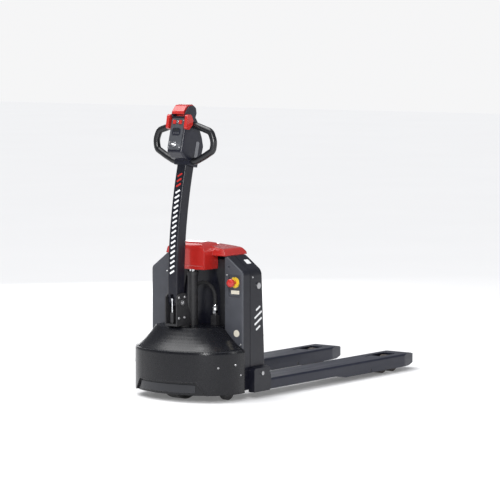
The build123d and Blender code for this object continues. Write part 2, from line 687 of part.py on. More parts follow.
def head_plane():
    """Control head frame: local x across the arm to the rear, z along the arm's upper end."""
    bend = math.radians(ARM_BEND)
    x, z = arm_end()
    return Plane(origin=(x, 0, z), x_dir=(math.cos(bend), 0, -math.sin(bend)),
                 z_dir=(math.sin(bend), 0, math.cos(bend)))


def on_head(shape):
    """Move a shape from the head frame into place."""
    return head_plane().location * shape


def tiller_arm():
    """Curved rectangular tube from the hinge to the control head."""
    half = math.radians(ARM_BEND / 2)
    mid = (PIVOT_X + ARM_BEND_R * (1 - math.cos(half)), 0, ARM_STRAIGHT_TOP + ARM_BEND_R * math.sin(half))
    x, z = arm_end()
    start = (PIVOT_X, 0, PIVOT_Z + 24)
    knee = (PIVOT_X, 0, ARM_STRAIGHT_TOP)
    path = Wire([Line(start, knee), ThreePointArc(knee, mid, (x, 0, z))])
    section = Plane(origin=start, x_dir=(1, 0, 0), z_dir=(0, 0, 1)) * RectangleRounded(ARM_X, ARM_Y, 7)
    bore = Plane(origin=start, x_dir=(1, 0, 0), z_dir=(0, 0, 1)) * RectangleRounded(ARM_X - 6, ARM_Y - 6, 4)
    arm = sweep(section, path) - sweep(bore, path)
    foot = prism_y([(PIVOT_X - 24, PIVOT_Z + 34), (PIVOT_X - 24, PIVOT_Z, 20), (PIVOT_X, PIVOT_Z - 26, 22),
                    (PIVOT_X + 24, PIVOT_Z, 20), (PIVOT_X + 24, PIVOT_Z + 34)], -24, 24)
    foot -= box(PIVOT_X - 40, PIVOT_X - 11, -9, 9, PIVOT_Z - 40, PIVOT_Z + 36)
    arm = arm + foot - box(PIVOT_X - 40, PIVOT_X - 22, -9, 9, PIVOT_Z, PIVOT_Z + 36)
    return arm - bar_y(PIVOT_X, PIVOT_Z, -30, 30, 10.05)


def tiller_bracket():
    """Pair of ears on the turntable that hold the tiller's hinge pin."""
    z0 = COVER_DECK + 6.2
    bracket = box(PIVOT_X - 36, STEER_X + 30, -33, 33, z0, z0 + 9)
    ear = [(PIVOT_X - 36, z0 + 8), (PIVOT_X - 36, PIVOT_Z + 26, 14), (PIVOT_X - 16, PIVOT_Z + 40, 12),
           (PIVOT_X + 26, PIVOT_Z + 40, 14), (PIVOT_X + 36, PIVOT_Z, 20), (STEER_X + 30, z0 + 8)]
    for side in (-1, 1):
        y0 = side * 29.5 - 3
        bracket += prism_y(ear, y0, y0 + 6)
    return bracket - bar_y(PIVOT_X, PIVOT_Z, -40, 40, 10.05)


def tiller_pin():
    """Hinge pin through both ears."""
    pin = bar_y(PIVOT_X, PIVOT_Z, -34, 34, 10)
    return pin + bar_y(PIVOT_X, PIVOT_Z, -37, -33, 13) + bar_y(PIVOT_X, PIVOT_Z, 33, 37, 13)


def gas_spring_tube():
    """Lower half of the gas spring that lifts the tiller back upright."""
    z0 = COVER_DECK + 15.4
    tube = bar_z(SPRING_X, 0, z0 + 6, z0 + 48, 9) + bar_z(SPRING_X, 0, z0, z0 + 7, 6)
    return tube - bar_z(SPRING_X, 0, z0 + 9, z0 + 60, 4.3)


def gas_spring_rod():
    """Rod of the gas spring with its eye on the tiller foot."""
    z0 = COVER_DECK + 15.4
    rod = bar_z(SPRING_X, 0, z0 + 46, SPRING_TOP - 6, 3.5)
    return rod + bar_z(SPRING_X, 0, SPRING_TOP - 8, SPRING_TOP, 6)


def loop_path(side):
    """Centre line of one grip loop, in the upright plane that both loops lie in."""
    x = LOOP_X
    return [(x, side * 20, 1012), (x, side * 62, 1016), (x, side * 104, 1036), (x, side * 150, 1062),
            (x, side * 157, 1100), (x, side * 140, 1142), (x, side * 62, 1166), (x, side * 20, 1170)]


def handle_loops():
    """Two closed grip loops, one each side of the control head."""
    loops = []
    blocker = head_core()
    for side in (-1, 1):
        points = loop_path(side)
        path = FilletPolyline(*points, radius=LOOP_BENDS)
        start = Plane(origin=points[0], z_dir=(0, side, 0.1))
        loop = sweep(start * Circle(LOOP_R), path) - blocker
        loops.append(max(loop.solids(), key=lambda s: s.volume))
    return Compound(children=loops)


def head_core():
    """Body of the control head: collar on the arm, wedge-shaped back and a front for the controls."""
    side = [(-30, 0), (-30, 18), (-62, 22), (-92, 40, 8), (-92, 196), (-34, 204), (-16, 190, 20),
            (30, 130, 30), (48, 96, 14), (46, 60, 20), (30, 18), (30, 0)]
    core = prism_y(side, -40, 40)
    core = fillet(core.edges().filter_by(Axis.Z).filter_by(lambda e: e.length > 60), 8)
    return on_head(core)


def control_head():
    """Moulded head with cheeks beside the red cap and recesses for its buttons."""
    head = head_core()
    cheek = [(-98, 190), (-100, 212, 8), (-86, 240, 16), (-58, 251, 18), (-38, 244, 14), (-29, 224, 8),
             (-34, 190)]
    for side in (-1, 1):
        head += on_head(prism_y(cheek, side * 35 - 3.5, side * 35 + 3.5))
    head -= on_head(box(-81, -39, -26.6, 26.6, 184, 210))
    head -= on_head(box(-93, -70, -24, -8, 160, 178))
    head -= on_head(box(-93, -70, 8, 24, 160, 178))
    head -= on_head(bar_x(0, 169, -93, -70, 6))
    head -= on_head(bar_x(0, 72, -93, -60, 11.05))
    return head - on_head(bar_y(-70, 172, -50, 50, 5.06))


def face_panel():
    """Grey face of the head, round the buttons and the lock."""
    plate = on_head(prism_x([(-34, 50, 8), (34, 50, 8), (34, 186, 8), (-34, 186, 8)], -97, -92.2))
    for y in (-16, 16):
        plate -= on_head(box(-99, -90, y - 8, y + 8, 160, 178))
    plate -= on_head(bar_x(0, 169, -99, -90, 6))
    return plate - on_head(bar_x(0, 72, -99, -90, 11.05))


def key_lock():
    """Barrel of the ignition lock."""
    return on_head(bar_x(0, 72, -101, -64, 11) - bar_x(0, 72, -102, -72, 6.06))


def ignition_key():
    """Lock plug that turns in the barrel, with the flat key in it."""
    key = bar_x(0, 72, -101, -76, 6) + box(-116, -100, -1.1, 1.1, 69, 75)
    return on_head(key + bar_y(-122, 72, -1.1, 1.1, 9))


def face_button(y):
    """Small rectangular button."""
    return on_head(fillet(box(-101, -78, y - 7.5, y + 7.5, 160.5, 177.5).edges().filter_by(Axis.X), 2))


def horn_button():
    return on_head(bar_x(0, 169, -100.5, -80, 5.6))


def belly_button():
    """Red cap on the tip of the head that reverses the truck when it touches the operator."""
    side = [(-106, 203), (-108, 214, 6), (-92, 244, 16), (-60, 256, 20), (-34, 248, 16), (-24, 224, 8),
            (-30, 210.5)]
    return on_head(prism_y(side, -30.8, 30.8) + box(-80, -40, -26, 26, 192, 214))


def throttle():
    """Twin thumb paddles on one shaft through the head."""
    shaft = bar_y(-70, 172, -56, 56, 5)
    paddle = [(-104, 142, 8), (-84, 138, 12), (-64, 164, 8), (-64, 184, 8), (-84, 206, 12), (-108, 200, 12)]
    for side in (-1, 1):
        shaft += prism_y(paddle, side * 49 - 7, side * 49 + 7)
    return on_head(shaft)


# --- write every sub-part -----------------------------------------------------------------
def main():
    rollers = {"front": BOGIE_X + ROLLER_PITCH / 2, "rear": BOGIE_X - ROLLER_PITCH / 2}
    for name, side in (("left", 1), ("right", -1)):
        y = side * FORK_Y
        save(f"{name}_fork", fork(y) - tip_roller_slot(y))
        save(f"{name}_push_rod", push_rod(y))
        save(f"{name}_roller_lever", roller_lever(y))
        save(f"{name}_bogie", bogie(y))
        for place, x in rollers.items():
            save(f"{name}_{place}_load_roller", load_roller(x, y))
        save(f"{name}_castor_fork", castor_fork(side))
        save(f"{name}_castor_wheel", castor_wheel(side))
    pieces = {
        "entry_rollers": both(entry_roller(-FORK_Y)),
        "heel_brackets": both(heel_bracket()),
        "heel_pins": both(bar_y(-62, 108, -FORK_SPREAD / 2 - 4, -COLUMN_HALF - 1, 8.8)),
        "bell_crank": bell_crank(),
        "battery_column": battery_column(),
        "battery_pack": battery_pack(),
        "battery_lock": battery_lock(),
        "lift_bridge": lift_bridge(),
        "piston_rod": piston_rod(),
        "hood": hood(),
        "chassis_frame": chassis_frame(),
        "drive_cover": drive_cover(),
        "right_side_panel": right_side_panel(),
        "left_side_panel": side_panel(1),
        "recess_liner": recess_liner(),
        "lift_cylinder": lift_cylinder(),
        "hydraulic_pump": hydraulic_pump(),
        "hose_port": hose_port(),
        "oil_tank": oil_tank(),
        "motor_controller": motor_controller(),
        "lift_hose": lift_hose(),
        "estop_ring": estop_ring(),
        "estop_button": estop_button(),
        "steering_bearing": steering_bearing(),
        "steering_head": steering_head(),
        "gearbox": gearbox(),
        "traction_motor": traction_motor(),
        "drive_tyre": drive_tyre(),
        "drive_hub": drive_hub(),
        "tiller_bracket": tiller_bracket(),
        "tiller_pin": tiller_pin(),
        "gas_spring_tube": gas_spring_tube(),
        "gas_spring_rod": gas_spring_rod(),
        "tiller_arm": tiller_arm(),
        "handle_loops": handle_loops(),
        "control_head": control_head(),
        "face_panel": face_panel(),
        "key_lock": key_lock(),
        "ignition_key": ignition_key(),
        "raise_button": face_button(16),
        "lower_button": face_button(-16),
        "horn_button": horn_button(),
        "belly_button": belly_button(),
        "throttle": throttle(),
    }
    for name, shape in pieces.items():
        save(name, shape)


main()
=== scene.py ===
import json
import math

import bmesh
import bpy
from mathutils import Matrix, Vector
from mathutils.bvhtree import BVHTree


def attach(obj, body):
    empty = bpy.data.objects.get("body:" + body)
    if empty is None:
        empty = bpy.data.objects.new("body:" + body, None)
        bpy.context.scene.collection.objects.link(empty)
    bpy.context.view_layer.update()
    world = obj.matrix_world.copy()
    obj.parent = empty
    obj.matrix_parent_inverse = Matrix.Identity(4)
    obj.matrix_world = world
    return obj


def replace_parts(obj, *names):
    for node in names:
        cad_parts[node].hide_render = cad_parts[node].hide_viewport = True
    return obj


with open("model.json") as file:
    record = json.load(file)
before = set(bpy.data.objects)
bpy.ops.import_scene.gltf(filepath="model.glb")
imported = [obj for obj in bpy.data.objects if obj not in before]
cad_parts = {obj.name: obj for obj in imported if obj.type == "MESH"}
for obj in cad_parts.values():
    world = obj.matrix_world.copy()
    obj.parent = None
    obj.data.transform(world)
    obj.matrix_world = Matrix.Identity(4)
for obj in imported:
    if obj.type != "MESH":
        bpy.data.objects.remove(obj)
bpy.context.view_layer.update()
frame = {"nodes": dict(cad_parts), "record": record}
nodes = frame["nodes"]
MM = 0.001
HEEL = 380          # the fork heels stand this many millimetres behind the middle of the truck
CLEAR = 450         # rays start this many millimetres out, clear of the truck
SINK = 0.2 * MM     # screw heads sit this far into the surface
SMALLEST = 0.05     # radius that closes a turned shape on its axis, in millimetres
SIDES = (-1, 1)     # right, left
ACROSS, UP = (0, -1, 0), (0, 0, 1)      # of a plate that faces the operator


def at(x, y, z):
    """A point given in millimetres from the fork heels, in the row frame."""
    return Vector(((x - HEEL) * MM, y * MM, z * MM))


# --- materials ----------------------------------------------------------------------------
MIX_FACTOR, MIX_A, MIX_B, MIX_RESULT = 0, 6, 7, 2       # the Mix node's colour sockets


class Nodes:
    """Short names for building one node material."""

    def __init__(self, name):
        self.mat = bpy.data.materials.new(name)
        self.mat.use_nodes = True
        self.tree = self.mat.node_tree
        self.shader = self.tree.nodes["Principled BSDF"]
        self.coords = self.tree.nodes.new("ShaderNodeTexCoord").outputs["Object"]

    def add(self, kind, **values):
        node = self.tree.nodes.new(kind)
        for key, value in values.items():
            setattr(node, key, value)
        return node

    def link(self, a, b):
        self.tree.links.new(a, b)

    def noise(self, scale, detail=3, rough=0.55, stretch=(1, 1, 1)):
        mapping = self.add("ShaderNodeMapping")
        mapping.inputs["Scale"].default_value = stretch
        self.link(self.coords, mapping.inputs["Vector"])
        node = self.add("ShaderNodeTexNoise")
        node.inputs["Scale"].default_value = scale
        node.inputs["Detail"].default_value = detail
        node.inputs["Roughness"].default_value = rough
        self.link(mapping.outputs["Vector"], node.inputs["Vector"])
        return node.outputs["Fac"]

    def cells(self, scale):
        node = self.add("ShaderNodeTexVoronoi", feature="F1")
        node.inputs["Scale"].default_value = scale
        self.link(self.coords, node.inputs["Vector"])
        return node.outputs["Distance"]

    def remap(self, value, low, high, start=0.3, end=0.7):
        node = self.add("ShaderNodeMapRange")
        node.inputs["From Min"].default_value = start
        node.inputs["From Max"].default_value = end
        node.inputs["To Min"].default_value = low
        node.inputs["To Max"].default_value = high
        self.link(value, node.inputs["Value"])
        return node.outputs["Result"]

    def times(self, a, b):
        node = self.add("ShaderNodeMath", operation="MULTIPLY")
        self.link(a, node.inputs[0])
        self.link(b, node.inputs[1])
        return node.outputs["Value"]

    def mix(self, mask, a, b):
        node = self.add("ShaderNodeMix", data_type="RGBA")
        self.link(mask, node.inputs[MIX_FACTOR])
        for socket, value in ((node.inputs[MIX_A], a), (node.inputs[MIX_B], b)):
            if isinstance(value, tuple):
                socket.default_value = (*value, 1)
            else:
                self.link(value, socket)
        return node.outputs[MIX_RESULT]

    def rounded(self, radius):
        node = self.add("ShaderNodeBevel", samples=4)
        node.inputs["Radius"].default_value = radius
        return node.outputs["Normal"]

    def edges(self, radius):
        """1 along the edges of the piece, 0 on its faces."""
        geometry = self.add("ShaderNodeNewGeometry").outputs["Normal"]
        dot = self.add("ShaderNodeVectorMath", operation="DOT_PRODUCT")
        self.link(self.rounded(radius), dot.inputs[0])
        self.link(geometry, dot.inputs[1])
        return self.remap(dot.outputs["Value"], 1, 0, 0.75, 0.98)

    def bump(self, height, depth, round_radius=None):
        node = self.add("ShaderNodeBump")
        node.inputs["Strength"].default_value = 1
        node.inputs["Distance"].default_value = depth
        self.link(height, node.inputs["Height"])
        if round_radius:
            self.link(self.rounded(round_radius), node.inputs["Normal"])
        self.link(node.outputs["Normal"], self.shader.inputs["Normal"])


def shade(colour, factor):
    return tuple(min(1, c * factor) for c in colour)


DUST = (0.33, 0.31, 0.28)
RUB_RADIUS, RUB_BRIGHTER = 0.0016, 3.2
COAT_ROUGH = 0.06
BRAID_LEAN = 0.78


def surface(name, colour, rough, metal=0, grain=900, depth=0.00006, spread=0.12, wear=0, coat=0,
            round_radius=0.0012, stretch=(1, 1, 1), cell=0, dust=0, sheen=0, shine=0.5):
    """A finish with cloudy colour, uneven gloss, fine grain, rubbed edges and a little dust."""
    n = Nodes(name)
    cloud = n.noise(14, 4)
    base = n.mix(n.remap(cloud, 0, 1), shade(colour, 1 - spread), shade(colour, 1 + spread))
    if dust:
        specks = n.times(n.remap(n.noise(60, 6, 0.7), 0, dust, 0.5, 0.75), n.remap(n.noise(5, 2), 0.2, 1))
        base = n.mix(specks, base, DUST)
    if wear:
        rub = n.times(n.edges(RUB_RADIUS), n.remap(n.noise(90, 5, 0.7), 0, wear, 0.42, 0.7))
        base = n.mix(rub, base, shade(colour, RUB_BRIGHTER))
    n.link(base, n.shader.inputs["Base Color"])
    gloss = n.remap(n.noise(38, 5, 0.65, stretch), rough * 0.86, min(1, rough * 1.16))
    n.link(gloss, n.shader.inputs["Roughness"])
    n.shader.inputs["Metallic"].default_value = metal
    n.shader.inputs["Coat Weight"].default_value = coat
    n.shader.inputs["Coat Roughness"].default_value = COAT_ROUGH
    n.shader.inputs["Sheen Weight"].default_value = sheen
    n.shader.inputs["Specular IOR Level"].default_value = shine
    fine = n.cells(cell) if cell else n.noise(grain, 2, 0.5, stretch)
    n.bump(fine, depth, round_radius)
    return n.mat


def braided(name, colour):
    """Woven textile cover of the lift hose."""
    n = Nodes(name)
    wave = []
    for lean in (BRAID_LEAN, -BRAID_LEAN):
        mapping = n.add("ShaderNodeMapping")
        mapping.inputs["Rotation"].default_value = (lean, 0, 0)
        n.link(n.coords, mapping.inputs["Vector"])
        node = n.add("ShaderNodeTexWave", bands_direction="Z")
        node.inputs["Scale"].default_value = 160
        n.link(mapping.outputs["Vector"], node.inputs["Vector"])
        wave.append(node.outputs["Fac"])
    weave = n.times(wave[0], wave[1])
    n.link(n.mix(weave, shade(colour, 0.5), shade(colour, 1.6)), n.shader.inputs["Base Color"])
    n.link(n.remap(weave, 0.8, 0.55, 0, 1), n.shader.inputs["Roughness"])
    n.bump(weave, 0.0004)
    return n.mat


NAVY = (0.0055, 0.006, 0.0115)
RED = (0.42, 0.018, 0.014)
materials = {
    "steel_paint": surface("steel_paint", NAVY, 0.34, grain=1300, depth=0.00004, wear=0.4, dust=0.03,
                           shine=0.4),
    "fork_paint": surface("fork_paint", (0.0075, 0.0095, 0.022), 0.36, grain=1100, depth=0.00005, wear=0.7,
                          dust=0.03, stretch=(0.12, 1, 1), shine=0.4),
    "panel": surface("panel", (0.05, 0.053, 0.064), 0.44, cell=1500, depth=0.00004, wear=0.2, dust=0.03),
    # painted shade: a dark liner coloured near black, darker than the grey panel, so the recess reads as
    # shaded
    "liner": surface("liner", (0.009, 0.0095, 0.012), 0.5, cell=1500, depth=0.00004, dust=0.04),
    "cover": surface("cover", (0.003, 0.0033, 0.0055), 0.27, cell=1300, depth=0.000015, wear=0.2, dust=0.01,
                     spread=0.08, round_radius=0.007, shine=0.38),
    # painted highlight: a lighter copy of the cover finish, used on the rim bead and the toe strip
    "cover_painted_highlight": surface("cover_painted_highlight", (0.014, 0.015, 0.019), 0.3, cell=1100, depth=0.00004, spread=0.08),
    "hood": surface("hood", RED, 0.24, grain=500, depth=0.00002, spread=0.06, coat=0.6, round_radius=0.006),
    "chrome": surface("chrome", (0.72, 0.73, 0.75), 0.09, metal=1, grain=700, depth=0.00001, spread=0.03),
    "steel": surface("steel", (0.46, 0.46, 0.47), 0.3, metal=1, grain=260, depth=0.00004,
                     stretch=(1, 8, 1), dust=0.06),
    "cast": surface("cast", (0.013, 0.013, 0.015), 0.55, grain=420, depth=0.0002, dust=0.08),
    "alloy": surface("alloy", (0.42, 0.43, 0.45), 0.42, metal=1, grain=600, depth=0.0001, dust=0.06),
    "tyre": surface("tyre", (0.014, 0.014, 0.015), 0.72, cell=700, depth=0.0001, dust=0.25, sheen=0.1),
    "roller": surface("roller", (0.045, 0.035, 0.03), 0.42, grain=500, depth=0.00005, dust=0.2),
    "castor_tread": surface("castor_tread", (0.03, 0.03, 0.032), 0.5, grain=500, depth=0.00006, dust=0.2),
    "hose": braided("hose", (0.014, 0.014, 0.016)),
    "loop": surface("loop", (0.0065, 0.007, 0.009), 0.28, cell=1600, depth=0.00005, spread=0.08),
    "head": surface("head", (0.0095, 0.0105, 0.019), 0.34, cell=1700, depth=0.00005, wear=0.2),
    "face": surface("face", (0.055, 0.058, 0.066), 0.4, cell=1700, depth=0.00005, spread=0.06),
    "trim": surface("trim", (0.15, 0.155, 0.17), 0.42, cell=1700, depth=0.00005, spread=0.06),
    "red_plastic": surface("red_plastic", (0.45, 0.019, 0.015), 0.27, grain=700, depth=0.00003, spread=0.06,
                           coat=0.4),
    "yellow": surface("yellow", (0.72, 0.5, 0.03), 0.33, grain=700, depth=0.00003, spread=0.06, coat=0.2),
    "battery": surface("battery", (0.022, 0.022, 0.024), 0.5, cell=900, depth=0.00008),
    "tank": surface("tank", (0.42, 0.41, 0.36), 0.4, grain=300, depth=0.00006, spread=0.08),
    "label": surface("label", (0.66, 0.62, 0.52), 0.45, grain=600, depth=0.00001, spread=0.04),
    "white_mark": surface("white_mark", (0.74, 0.75, 0.76), 0.4, grain=600, depth=0.00001, spread=0.04),
    "dark_hole": surface("dark_hole", (0.004, 0.004, 0.005), 0.7, grain=500, depth=0.00002),
    "glass": surface("glass", (0.01, 0.012, 0.014), 0.08, grain=900, depth=0.000005, coat=0.8),
}

SLOT_FINISH = {
    "frame_paint": "steel_paint", "panel_grey": "panel", "cover_black": "cover", "hood_red": "hood",
    "chrome": "chrome", "steel": "steel", "cast": "cast", "alloy": "alloy", "tyre": "tyre",
    "polyurethane": "roller", "hose": "hose", "loop_black": "loop", "head_black": "head",
    "face_grey": "face", "control_red": "red_plastic", "collar_yellow": "yellow",
    "battery_case": "battery", "tank_plastic": "tank",
}
OWN_FINISH = {
    "left_fork": "fork_paint", "right_fork": "fork_paint", "recess_liner": "liner",
    "left_castor_wheel": "castor_tread", "right_castor_wheel": "castor_tread",
    "tiller_bracket": "cast", "horn_button": "chrome",
}
for part in frame["record"]["subparts"]:
    node = nodes[part["node"]]
    finish = OWN_FINISH.get(part["node"], SLOT_FINISH[part["material_slot"]])
    node.data.materials.clear()
    node.data.materials.append(materials[finish])


# --- building pieces ----------------------------------------------------------------------
def piece(name, bm, finish, body, smooth=40):
    """Turns a bmesh into a piece that rides on a body."""
    bmesh.ops.recalc_face_normals(bm, faces=bm.faces)
    mesh = bpy.data.meshes.new(name)
    bm.to_mesh(mesh)
    bm.free()
    obj = bpy.data.objects.new(name, mesh)
    bpy.context.scene.collection.objects.link(obj)
    mesh.materials.append(materials[finish])
    mesh.shade_smooth()
    mesh.set_sharp_from_angle(angle=math.radians(smooth))
    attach(obj, body)
    return obj


def skin(bm, rings):
    """Joins each ring of vertices to the next and closes both ends."""
    count = len(rings[0])
    for low, high in zip(rings, rings[1:]):
        for i in range(count):
            j = (i + 1) % count
            bm.faces.new((low[i], low[j], high[j], high[i]))
    bm.faces.new(rings[0][::-1])
    bm.faces.new(rings[-1])


def turned(bm, centre, axis, profile, steps=40):
    """Lathes (distance along axis, radius) points, in millimetres, about axis through centre."""
    axis = Vector(axis).normalized()
    across = axis.orthogonal().normalized()
    other = axis.cross(across)
    angles = [2 * math.pi * i / steps for i in range(steps)]
    spokes = [across * math.cos(a) + other * math.sin(a) for a in angles]
    rings = []
    for along, radius in profile:
        middle = centre + axis * along * MM
        rings.append([bm.verts.new(middle + spoke * max(radius, SMALLEST) * MM) for spoke in spokes])
    skin(bm, rings)


def hex_prism(bm, centre, axis, radius, start, end):
    """Hexagon bar, chamfered at its outer end."""
    chamfer = 0.15 * (end - start)
    turned(bm, centre, axis, [(start, radius), (end - chamfer, radius), (end, radius * 0.86)], 6)


def socket_screw(bm, centre, axis, radius):
    """Button-head screw with a round socket."""
    dome = [(0, radius), (radius * 0.2, radius), (radius * 0.42, radius * 0.8),
            (radius * 0.52, radius * 0.55), (radius * 0.3, radius * 0.5), (radius * 0.28, 0)]
    turned(bm, centre, axis, dome, 24)


def hex_bolt(bm, centre, axis, radius):
    """Hexagon bolt head on its washer."""
    washer = [(0, radius * 1.35), (1.1, radius * 1.35), (1.4, radius * 1.25), (1.4, 0)]
    turned(bm, centre, axis, washer, 28)
    hex_prism(bm, centre, axis, radius, 1.3, 1.3 + radius * 0.62)


def plate(bm, centre, across, up, width, height, thick, corner, bevel=0.3):
    """Thin plate with round corners, its back on centre and its front along across x up."""
    across, up = Vector(across).normalized(), Vector(up).normalized()
    out = across.cross(up).normalized()
    rings = []
    for lift, shrink in ((0, 0), (thick - bevel, 0), (thick, bevel)):
        ring = []
        for cx, cy, start in ((1, 1, 0), (-1, 1, 90), (-1, -1, 180), (1, -1, 270)):
            for step in range(7):
                a = math.radians(start + 15 * step)
                x = cx * (width / 2 - corner) + (corner - shrink) * math.cos(a)
                y = cy * (height / 2 - corner) + (corner - shrink) * math.sin(a)
                ring.append(bm.verts.new(centre + (across * x + up * y + out * lift) * MM))
        rings.append(ring)
    skin(bm, rings)


trees = {}


def hit(node, start, direction):
    """Where a ray from start first meets a CAD node: (point, outward normal)."""
    if node not in trees:
        mesh = nodes[node].data
        corners = [v.co for v in mesh.vertices]
        trees[node] = BVHTree.FromPolygons(corners, [p.vertices for p in mesh.polygons])
    direction = Vector(direction).normalized()
    point, normal, _, _ = trees[node].ray_cast(start, direction)
    if point is None:
        raise ValueError(f"no surface of {node} on that line")
    return point, (normal if normal.dot(direction) < 0 else -normal)


def hit_side(node, side, x, z):
    """The outer surface of a node, seen square on from one side."""
    return hit(node, at(x, side * CLEAR, z), (0, -side, 0))


def hit_front(node, y, z):
    """The surface of a node that faces the operator."""
    return hit(node, at(-CLEAR, y, z), (1, 0, 0))


def sunk(found):
    """A spot and its normal, with the spot moved just into the surface."""
    spot, normal = found
    return spot - normal * SINK, normal


# --- drive cover --------------------------------------------------------------------------
bm = bmesh.new()
for side in SIDES:
    for x, z in ((-222, 158), (-190, 112), (-300, 150)):
        socket_screw(bm, *sunk(hit_side("drive_cover", side, x, z)), 5)
piece("cover_screws", bm, "steel", "chassis")

# The bead follows the rounded shoulder of the cover, round its front from side to side. Its finish is
# lighter than the cover: a painted highlight line along the rim.
STEER_X = -265
RIM_Z, RIM_R = 215.5, 1.3
RIM_START, RIM_SPAN, RIM_STEPS = 72, 216, 140
rim = bpy.data.curves.new("cover_rim_bead", "CURVE")
rim.dimensions = "3D"
rim.bevel_depth = RIM_R * MM
rim.bevel_resolution = 3
line = rim.splines.new("POLY")
line.points.add(RIM_STEPS)
for k in range(RIM_STEPS + 1):
    a = math.radians(RIM_START + RIM_SPAN * k / RIM_STEPS)
    far = at(STEER_X + 500 * math.cos(a), 500 * math.sin(a), RIM_Z)
    spot, normal = hit("drive_cover", far, at(STEER_X, 0, RIM_Z) - far)
    line.points[k].co = (*spot, 1)
bead = bpy.data.objects.new("cover_rim_bead", rim)
bpy.context.scene.collection.objects.link(bead)
rim.materials.append(materials["cover_painted_highlight"])
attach(bead, "chassis")

# The strip lies on the floor of the toe recess and follows its curve. Its finish is lighter than the cover:
# a painted highlight band along the recess.
TOE_HALF_WIDTH, TOE_STEPS = 146, 60
bm = bmesh.new()
sections = []
for k in range(TOE_STEPS + 1):
    y = TOE_HALF_WIDTH * (2 * k / TOE_STEPS - 1)
    ring = []
    for z, proud in ((40, -0.4), (42, 2.2), (76, 2.2), (78, -0.4)):
        spot, normal = hit_front("drive_cover", y, z)
        flat = Vector((normal.x, normal.y, 0)).normalized()
        ring.append(bm.verts.new(spot + flat * proud * MM))
    sections.append(ring)
skin(bm, sections)
piece("toe_strip", bm, "cover_painted_highlight", "chassis", smooth=30)

# --- side panels and emergency stop -------------------------------------------------------
bm = bmesh.new()
for side, node in ((-1, "right_side_panel"), (1, "left_side_panel")):
    for y, z in ((168, 236), (238, 236), (164, 530)):
        socket_screw(bm, *sunk(hit_front(node, side * y, z)), 4)
piece("panel_screws", bm, "steel", "chassis")

bm = bmesh.new()
spot, normal = hit_front("right_side_panel", -216, 283)
plate(bm, spot, ACROSS, UP, 30, 30, 0.4, 14.9, 0.1)
piece("round_sticker", bm, "label", "chassis")

bm = bmesh.new()
spot, normal = hit_front("right_side_panel", -205, 458)
plate(bm, spot, ACROSS, UP, 44, 16, 0.4, 2, 0.1)
piece("stop_label", bm, "label", "chassis")

STOP_X, STOP_Y, STOP_Z = -155, -205, 500
MUSHROOM = [(18, 9), (20, 14.4), (24, 16.6), (28, 17.8), (33, 18), (37.5, 17.2), (40.5, 14.8), (42, 10.5),
            (42, 0)]
stop_centre = at(STOP_X, STOP_Y, STOP_Z)
bm = bmesh.new()
turned(bm, stop_centre, (-1, 0, 0), MUSHROOM, 64)
turned(bm, stop_centre, (-1, 0, 0), [(-8, 7.9), (19, 7.9)])
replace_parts(piece("stop_mushroom", bm, "red_plastic", "estop"), "estop_button")

MARK_R = 20.2
bm = bmesh.new()
for k in range(3):
    a = math.radians(90 + 120 * k)
    spot = at(STOP_X - 3.2, STOP_Y + MARK_R * math.cos(a), STOP_Z + MARK_R * math.sin(a))
    round_ring, inwards = (0, -math.sin(a), math.cos(a)), (0, -math.cos(a), -math.sin(a))
    plate(bm, spot, round_ring, inwards, 9, 1.8, 0.3, 0.8, 0.1)
piece("stop_ring_marks", bm, "dark_hole", "chassis")

# --- column -------------------------------------------------------------------------------
bm = bmesh.new()
for side in SIDES:
    spot, normal = hit("battery_column", at(-62, side * 200, 800), (0, 0, -1))
    along = Vector((1, 0, 0))
    plate(bm, spot, along, normal.cross(along), 30, 26, 0.4, 3, 0.1)
piece("shoulder_labels", bm, "white_mark", "fork_frame")

SIDE_BAR_LEAN = 0.5
slant = Vector((math.cos(SIDE_BAR_LEAN), 0, math.sin(SIDE_BAR_LEAN)))
bm = bmesh.new()
for side in SIDES:
    for z, wide in ((384, 34), (356, 58), (328, 58), (300, 34)):
        spot, normal = hit_side("battery_column", side, -50, z)
        plate(bm, spot, slant * -side, normal.cross(slant * -side), wide, 9, 0.35, 4, 0.1)
piece("side_bars", bm, "white_mark", "fork_frame")

bm = bmesh.new()
for side in SIDES:
    for x, z in ((-88, 520), (-22, 120)):
        socket_screw(bm, *sunk(hit_side("battery_column", side, x, z)), 4.5)
piece("column_screws", bm, "steel", "fork_frame")

# --- lift hose fittings -------------------------------------------------------------------
FERRULE = [(12, 10.6), (14, 11), (30, 11), (33, 10.2), (36, 9.2), (36, 8.1)]
bm = bmesh.new()
for y in (-93, 30):
    end = at(-150, y, 362)
    hex_prism(bm, end, UP, 12, 0, 13)
    turned(bm, end, UP, FERRULE, 36)
piece("hose_ferrules", bm, "chrome", "chassis")

# --- tiller -------------------------------------------------------------------------------
PIVOT_X, STRAIGHT_TOP = -300, 480
BEND_R, BEND = 2050, 14.5       # the arm's curve above its straight foot, the angle in degrees
FRONT_FACE = -28.5
BAR_PITCH, BAR_LEAN = 21, 0.55


def arm_spot(z, out):
    """A point out from the arm's centre line at height z, and the directions square to and along the arm."""
    turn = math.asin((z - STRAIGHT_TOP) / BEND_R)
    square = Vector((math.cos(turn), 0, -math.sin(turn)))
    along = Vector((math.sin(turn), 0, math.cos(turn)))
    centre = at(PIVOT_X + BEND_R * (1 - math.cos(turn)), 0, z)
    return centre + square * out * MM, square, along


def arm_bars(bm, low_z, high_z):
    """Row of slanted bars up the front of the tiller."""
    for k in range(int((high_z - low_z) / BAR_PITCH) + 1):
        spot, square, along = arm_spot(low_z + k * BAR_PITCH, FRONT_FACE)
        across = Vector(ACROSS) * math.cos(BAR_LEAN) + along * math.sin(BAR_LEAN)
        plate(bm, spot, across, across.cross(square), 27, 8, 0.35, 2.5, 0.1)


bm = bmesh.new()
arm_bars(bm, 545, 884)
piece("tiller_white_bars", bm, "white_mark", "tiller")
bm = bmesh.new()
arm_bars(bm, 908, 966)
piece("tiller_red_bars", bm, "red_plastic", "tiller")

